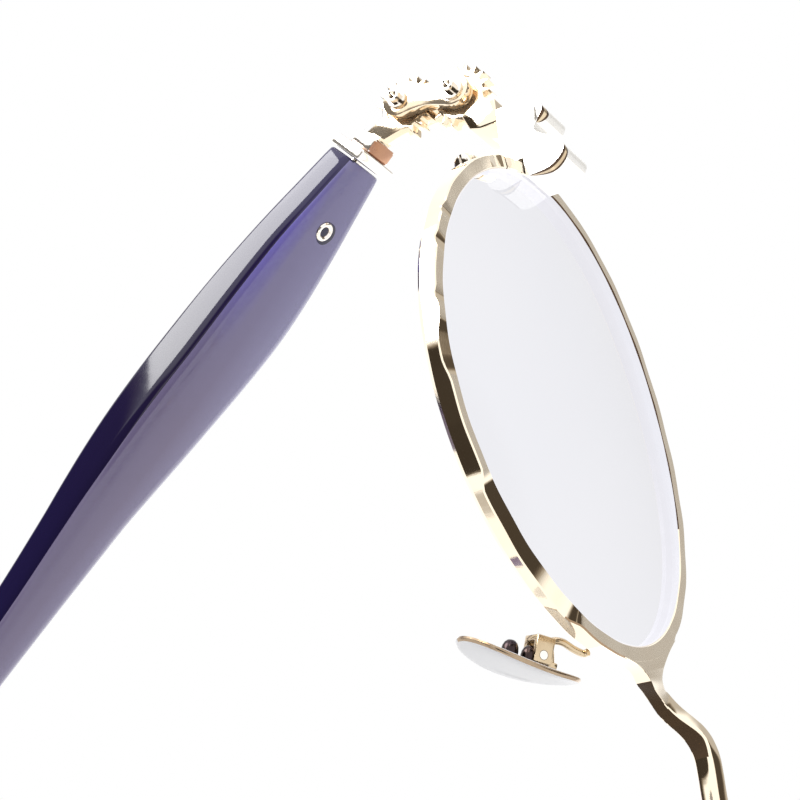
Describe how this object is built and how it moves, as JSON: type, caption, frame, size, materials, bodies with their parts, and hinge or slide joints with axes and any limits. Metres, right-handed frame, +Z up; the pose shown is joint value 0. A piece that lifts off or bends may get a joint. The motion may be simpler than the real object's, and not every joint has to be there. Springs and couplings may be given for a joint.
{
  "type": "round eyeglasses",
  "caption": "Round metal eyeglasses with faceted rims, metal nose pads, geared double-pivot hinges and thick curved acetate temples, one temple half folded.",
  "frame": {"origin": "centre of the flat underside of the bridge", "axes": "worn: +X to the wearer's left, +Y back along the open temple, +Z up"},
  "size_m": [0.1507, 0.1607, 0.0487],
  "materials": {
    "gold": "polished champagne gold plating",
    "satin_gold": "satin champagne gold plating",
    "steel": "turned",
    "pad_metal": "pale polished metal",
    "lens": "clear, coated",
    "acetate": "polished deep blue and violet acetate"
  },
  "bodies": {
    "front": {"bridge": "gold", "rim_left": "satin_gold", "lens_left": "lens", "endpiece_left": "gold", "hinge_bracket_left": "gold", "closing_barrel_upper_left": "gold", "closing_barrel_lower_left": "gold", "closing_screw_left": "steel", "pad_arm_left": "gold", "pad_box_left": "gold", "pad_screw_left": "steel", "frame_gear_left": "gold", "rim_right": "satin_gold", "lens_right": "lens", "endpiece_right": "gold", "hinge_bracket_right": "gold", "closing_barrel_upper_right": "gold", "closing_barrel_lower_right": "gold", "closing_screw_right": "steel", "pad_arm_right": "gold", "pad_box_right": "gold", "pad_screw_right": "steel", "frame_gear_right": "gold"},
    "link_left": {"link_lower_left": "gold", "link_upper_left": "gold", "frame_pin_left": "steel", "frame_pin_nut_left": "gold", "temple_pin_left": "steel", "temple_pin_nut_left": "gold"},
    "temple_left": {"temple_gear_left": "gold", "stem_block_left": "gold", "ferrule_left": "gold", "core_wire_left": "steel", "temple_left": "acetate", "temple_rivet_left": "gold"},
    "nose_pad_left": {"nose_pad_left": "pad_metal"},
    "link_right": {"link_lower_right": "gold", "link_upper_right": "gold", "frame_pin_right": "steel", "frame_pin_nut_right": "gold", "temple_pin_right": "steel", "temple_pin_nut_right": "gold"},
    "temple_right": {"temple_gear_right": "gold", "stem_block_right": "gold", "ferrule_right": "gold", "core_wire_right": "steel", "temple_right": "acetate", "temple_rivet_right": "gold"},
    "nose_pad_right": {"nose_pad_right": "pad_metal"}
  },
  "joints": [
    {"name": "left_link_swing", "type": "hinge", "parent": "front", "child": "link_left", "pos_m": [0.06965, 0.0077, -0.01595], "axis": [0, 0, 1], "range_deg": [0, 13.5]},
    {"name": "left_temple_swing", "type": "hinge", "parent": "link_left", "child": "temple_left", "pos_m": [0.07283, 0.01293, -0.01595], "axis": [0, 0, 1], "range_deg": [0, 13.5]},
    {"name": "left_pad_rock", "type": "hinge", "parent": "front", "child": "nose_pad_left", "pos_m": [0.0104, 0.0063, -0.02025], "axis": [0.2932, 0.8055, 0.515], "range_deg": [-8, 8]},
    {"name": "right_link_swing", "type": "hinge", "parent": "front", "child": "link_right", "pos_m": [-0.06965, 0.0077, -0.01595], "axis": [0, 0, -1], "range_deg": [-20, 25]},
    {"name": "right_temple_swing", "type": "hinge", "parent": "link_right", "child": "temple_right", "pos_m": [-0.07085, 0.0137, -0.01595], "axis": [0, 0, -1], "range_deg": [-20, 25]},
    {"name": "right_pad_rock", "type": "hinge", "parent": "front", "child": "nose_pad_right", "pos_m": [-0.0104, 0.0063, -0.02025], "axis": [-0.2932, 0.8055, 0.515], "range_deg": [-8, 8]}
  ],
  "couplings": [
    {"joint": "left_temple_swing", "follows": "left_link_swing", "ratio": 1},
    {"joint": "right_temple_swing", "follows": "right_link_swing", "ratio": 1}
  ]
}
